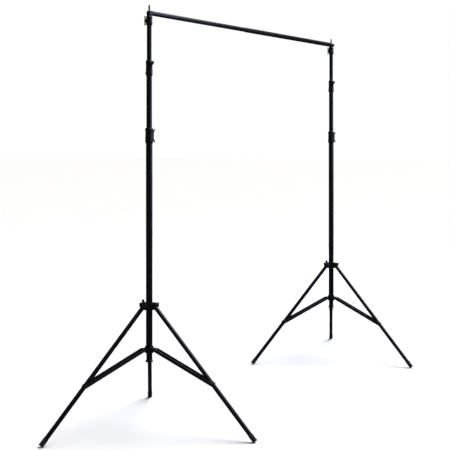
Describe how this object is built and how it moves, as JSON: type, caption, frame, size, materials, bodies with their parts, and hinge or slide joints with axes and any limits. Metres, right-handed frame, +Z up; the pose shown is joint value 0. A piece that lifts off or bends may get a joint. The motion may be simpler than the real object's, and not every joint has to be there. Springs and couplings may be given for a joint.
{
  "type": "backdrop support stand",
  "caption": "Backdrop support: two folding tripod stands with telescoping tubes, clamp collars and wing screws, joined at the top by a telescoping crossbar on bare studs.",
  "frame": {"origin": "on the floor, under the middle of the whole assembly's bounding box", "axes": "+X along the crossbar from the left stand to the right, +Z up, +Y towards the side that the rear legs point to"},
  "size_m": [2.7624, 0.8762, 1.9308],
  "materials": {
    "black_tube": "black powder-coated aluminium tube, satin",
    "black_casting": "moulded black nylon, fine texture",
    "black_knob": "moulded black wing knob, matt",
    "strap": "black painted steel strap",
    "steel_pin": "blackened steel pin",
    "stud": "blackened steel stud",
    "rubber": "black rubber"
  },
  "bodies": {
    "left_column": {"left_lower_tube": "black_tube", "left_lower_clamp": "black_casting", "left_brace_hub": "black_casting", "left_end_cap": "black_casting"},
    "left_hub": {"left_leg_hub": "black_casting", "left_leg_pin_1": "steel_pin", "left_leg_pin_2": "steel_pin", "left_leg_pin_3": "steel_pin"},
    "left_leg_1": {"left_leg_1": "black_tube", "left_foot_1": "rubber"},
    "left_brace_1": {"left_brace_1": "strap"},
    "left_leg_2": {"left_leg_2": "black_tube", "left_foot_2": "rubber"},
    "left_brace_2": {"left_brace_2": "strap"},
    "left_leg_3": {"left_leg_3": "black_tube", "left_foot_3": "rubber"},
    "left_brace_3": {"left_brace_3": "strap"},
    "left_middle": {"left_middle_tube": "black_tube", "left_middle_clamp": "black_casting"},
    "left_upper": {"left_upper_tube": "black_tube", "left_top_clamp": "black_casting"},
    "left_top": {"left_top_tube": "black_tube", "left_spigot": "stud"},
    "left_lower_knob": {"left_lower_clamp_knob": "black_knob"},
    "left_middle_knob": {"left_middle_clamp_knob": "black_knob"},
    "left_top_knob": {"left_top_clamp_knob": "black_knob"},
    "left_hub_knob": {"left_leg_hub_knob": "black_knob"},
    "right_column": {"right_lower_tube": "black_tube", "right_lower_clamp": "black_casting", "right_brace_hub": "black_casting", "right_end_cap": "black_casting"},
    "right_hub": {"right_leg_hub": "black_casting", "right_leg_pin_1": "steel_pin", "right_leg_pin_2": "steel_pin", "right_leg_pin_3": "steel_pin"},
    "right_leg_1": {"right_leg_1": "black_tube", "right_foot_1": "rubber"},
    "right_brace_1": {"right_brace_1": "strap"},
    "right_leg_2": {"right_leg_2": "black_tube", "right_foot_2": "rubber"},
    "right_brace_2": {"right_brace_2": "strap"},
    "right_leg_3": {"right_leg_3": "black_tube", "right_foot_3": "rubber"},
    "right_brace_3": {"right_brace_3": "strap"},
    "right_middle": {"right_middle_tube": "black_tube", "right_middle_clamp": "black_casting"},
    "right_upper": {"right_upper_tube": "black_tube", "right_top_clamp": "black_casting"},
    "right_top": {"right_top_tube": "black_tube", "right_spigot": "stud"},
    "right_lower_knob": {"right_lower_clamp_knob": "black_knob"},
    "right_middle_knob": {"right_middle_clamp_knob": "black_knob"},
    "right_top_knob": {"right_top_clamp_knob": "black_knob"},
    "right_hub_knob": {"right_leg_hub_knob": "black_knob"},
    "bar_inner": {"bar_inner_tube": "black_tube", "bar_left_lug": "black_casting"},
    "bar_outer": {"bar_outer_tube": "black_tube", "bar_right_lug": "black_casting"}
  },
  "joints": [
    {"name": "left_middle_slide", "type": "slide", "parent": "left_column", "child": "left_middle", "axis": [0, 0, 1], "range_m": [-0.237, 0.57]},
    {"name": "left_upper_slide", "type": "slide", "parent": "left_middle", "child": "left_upper", "axis": [0, 0, 1], "range_m": [-0.159, 0.65]},
    {"name": "left_top_slide", "type": "slide", "parent": "left_upper", "child": "left_top", "axis": [0, 0, 1], "range_m": [0, 0.82]},
    {"name": "left_hub_slide", "type": "slide", "parent": "left_column", "child": "left_hub", "axis": [0, 0, 1], "range_m": [0, 0.5499]},
    {"name": "left_leg_1_fold", "type": "hinge", "parent": "left_hub", "child": "left_leg_1", "pos_m": [-0.85518, 0.12061, 0.553], "axis": [-0.6143, 0.7891, 0], "range_deg": [0, 37.64]},
    {"name": "left_brace_1_fold", "type": "hinge", "parent": "left_column", "child": "left_brace_1", "pos_m": [-0.85272, 0.12253, 0.357], "axis": [0.6143, -0.7891, 0], "range_deg": [0, 107.27]},
    {"name": "left_leg_2_fold", "type": "hinge", "parent": "left_hub", "child": "left_leg_2", "pos_m": [-0.90902, 0.11314, 0.553], "axis": [-0.3762, -0.9265, 0], "range_deg": [0, 37.64]},
    {"name": "left_brace_2_fold", "type": "hinge", "parent": "left_column", "child": "left_brace_2", "pos_m": [-0.91191, 0.11431, 0.357], "axis": [0.3762, 0.9265, 0], "range_deg": [0, 107.27]},
    {"name": "left_leg_3_fold", "type": "hinge", "parent": "left_hub", "child": "left_leg_3", "pos_m": [-0.87563, 0.07025, 0.553], "axis": [0.9905, 0.1374, 0], "range_deg": [0, 37.64]},
    {"name": "left_brace_3_fold", "type": "hinge", "parent": "left_column", "child": "left_brace_3", "pos_m": [-0.8752, 0.06716, 0.357], "axis": [-0.9905, -0.1374, 0], "range_deg": [0, 107.27]},
    {"name": "left_lower_knob_turn", "type": "hinge", "parent": "left_column", "child": "left_lower_knob", "pos_m": [-0.87994, 0.10133, 1.3335], "axis": [0.9699, -0.2436, 0], "range_deg": [0, 540]},
    {"name": "left_middle_knob_turn", "type": "hinge", "parent": "left_middle", "child": "left_middle_knob", "pos_m": [-0.87994, 0.10133, 1.6425], "axis": [-0.7083, -0.7059, 0], "range_deg": [0, 540]},
    {"name": "left_top_knob_turn", "type": "hinge", "parent": "left_upper", "child": "left_top_knob", "pos_m": [-0.87994, 0.10133, 1.859], "axis": [-0.5864, 0.81, 0], "range_deg": [0, 540]},
    {"name": "left_hub_knob_turn", "type": "hinge", "parent": "left_hub", "child": "left_hub_knob", "pos_m": [-0.87994, 0.10133, 0.564], "axis": [-0.1374, 0.9905, 0], "range_deg": [0, 540]},
    {"name": "right_top_slide", "type": "slide", "parent": "right_top", "child": "right_upper", "axis": [0, 0, -1], "range_m": [0, 0.82]},
    {"name": "right_upper_slide", "type": "slide", "parent": "right_upper", "child": "right_middle", "axis": [0, 0, -1], "range_m": [-0.159, 0.65]},
    {"name": "right_middle_slide", "type": "slide", "parent": "right_middle", "child": "right_column", "axis": [0, 0, -1], "range_m": [-0.237, 0.57]},
    {"name": "right_hub_slide", "type": "slide", "parent": "right_column", "child": "right_hub", "axis": [0, 0, 1], "range_m": [0, 0.5499]},
    {"name": "right_leg_1_fold", "type": "hinge", "parent": "right_hub", "child": "right_leg_1", "pos_m": [0.92981, 0.11597, 0.553], "axis": [-0.4664, 0.8846, 0], "range_deg": [0, 37.64]},
    {"name": "right_brace_1_fold", "type": "hinge", "parent": "right_column", "child": "right_brace_1", "pos_m": [0.93257, 0.11742, 0.357], "axis": [0.4664, -0.8846, 0], "range_deg": [0, 107.27]},
    {"name": "right_leg_2_fold", "type": "hinge", "parent": "right_hub", "child": "right_leg_2", "pos_m": [0.8755, 0.11805, 0.553], "axis": [-0.5329, -0.8462, 0], "range_deg": [0, 37.64]},
    {"name": "right_brace_2_fold", "type": "hinge", "parent": "right_column", "child": "right_brace_2", "pos_m": [0.87286, 0.11972, 0.357], "axis": [0.5329, 0.8462, 0], "range_deg": [0, 107.27]},
    {"name": "right_leg_3_fold", "type": "hinge", "parent": "right_hub", "child": "right_leg_3", "pos_m": [0.90085, 0.06998, 0.553], "axis": [0.9993, -0.0384, 0], "range_deg": [0, 37.64]},
    {"name": "right_brace_3_fold", "type": "hinge", "parent": "right_column", "child": "right_brace_3", "pos_m": [0.90073, 0.06686, 0.357], "axis": [-0.9993, 0.0384, 0], "range_deg": [0, 107.27]},
    {"name": "right_lower_knob_turn", "type": "hinge", "parent": "right_column", "child": "right_lower_knob", "pos_m": [0.90206, 0.10133, 1.3335], "axis": [0.9121, -0.4099, 0], "range_deg": [0, 540]},
    {"name": "right_middle_knob_turn", "type": "hinge", "parent": "right_middle", "child": "right_middle_knob", "pos_m": [0.90206, 0.10133, 1.6425], "axis": [-0.8211, -0.5707, 0], "range_deg": [0, 540]},
    {"name": "right_top_knob_turn", "type": "hinge", "parent": "right_upper", "child": "right_top_knob", "pos_m": [0.90206, 0.10133, 1.859], "axis": [-0.4352, 0.9003, 0], "range_deg": [0, 540]},
    {"name": "right_hub_knob_turn", "type": "hinge", "parent": "right_hub", "child": "right_hub_knob", "pos_m": [0.90206, 0.10133, 0.564], "axis": [0.0384, 0.9993, 0], "range_deg": [0, 540]},
    {"name": "left_stud_turn", "type": "hinge", "parent": "left_top", "child": "bar_inner", "pos_m": [-0.87994, 0.10133, 1.8946], "axis": [0, 0, 1], "continuous": true},
    {"name": "bar_slide", "type": "slide", "parent": "bar_inner", "child": "bar_outer", "axis": [1, 0, 0], "range_m": [-0.62, 0.18]},
    {"name": "right_stud_turn", "type": "hinge", "parent": "bar_outer", "child": "right_top", "pos_m": [0.90206, 0.10133, 1.8946], "axis": [0, 0, 1], "continuous": true}
  ],
  "couplings": [
    {"joint": "left_leg_1_fold", "follows": "left_hub_slide", "rad_per_m": 1.1944},
    {"joint": "left_brace_1_fold", "follows": "left_hub_slide", "rad_per_m": 3.4044},
    {"joint": "left_leg_2_fold", "follows": "left_hub_slide", "rad_per_m": 1.1944},
    {"joint": "left_brace_2_fold", "follows": "left_hub_slide", "rad_per_m": 3.4044},
    {"joint": "left_leg_3_fold", "follows": "left_hub_slide", "rad_per_m": 1.1944},
    {"joint": "left_brace_3_fold", "follows": "left_hub_slide", "rad_per_m": 3.4044},
    {"joint": "right_leg_1_fold", "follows": "right_hub_slide", "rad_per_m": 1.1944},
    {"joint": "right_brace_1_fold", "follows": "right_hub_slide", "rad_per_m": 3.4044},
    {"joint": "right_leg_2_fold", "follows": "right_hub_slide", "rad_per_m": 1.1944},
    {"joint": "right_brace_2_fold", "follows": "right_hub_slide", "rad_per_m": 3.4044},
    {"joint": "right_leg_3_fold", "follows": "right_hub_slide", "rad_per_m": 1.1944},
    {"joint": "right_brace_3_fold", "follows": "right_hub_slide", "rad_per_m": 3.4044},
    {"joint": "right_top_slide", "follows": "left_top_slide", "ratio": 1},
    {"joint": "right_upper_slide", "follows": "left_upper_slide", "ratio": 1},
    {"joint": "right_middle_slide", "follows": "left_middle_slide", "ratio": 1}
  ]
}
